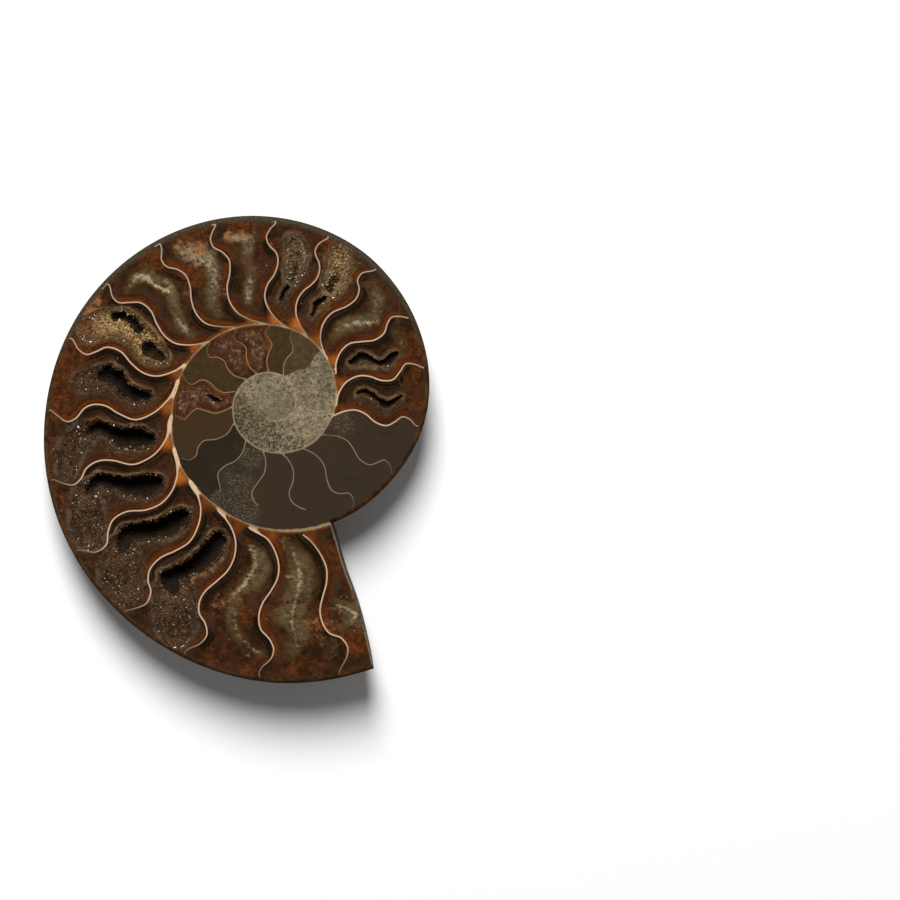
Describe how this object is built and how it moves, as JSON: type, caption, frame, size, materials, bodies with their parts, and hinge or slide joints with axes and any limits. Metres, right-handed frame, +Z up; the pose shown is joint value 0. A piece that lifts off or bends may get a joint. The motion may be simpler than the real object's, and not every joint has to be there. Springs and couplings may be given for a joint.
{
  "type": "polished ammonite half",
  "caption": "Half of a coiled fossil shell, sawn through the plane of its coil and polished flat, with a rounded ribbed back and crystal-lined chambers open to the face.",
  "frame": {"origin": "middle of the bounding box in plan, on the surface that the fossil lies on", "axes": "+Z up, nearly along the normal of the polished face; +Y towards the upper side of the coil with the broken end at the low right, seen from above"},
  "size_m": [0.0966, 0.1168, 0.0214],
  "materials": {
    "stone": "polished brown calcite with cream shell walls and dark stone filling",
    "crystals": "fine glittering calcite crystals"
  },
  "bodies": {
    "root": {"ammonite_half": "stone", "crystal_crust_1": "crystals", "crystal_crust_2": "crystals", "crystal_crust_3": "crystals", "crystal_crust_4": "crystals", "crystal_crust_5": "crystals", "crystal_crust_6": "crystals", "crystal_crust_7": "crystals", "crystal_crust_8": "crystals"}
  },
  "joints": []
}
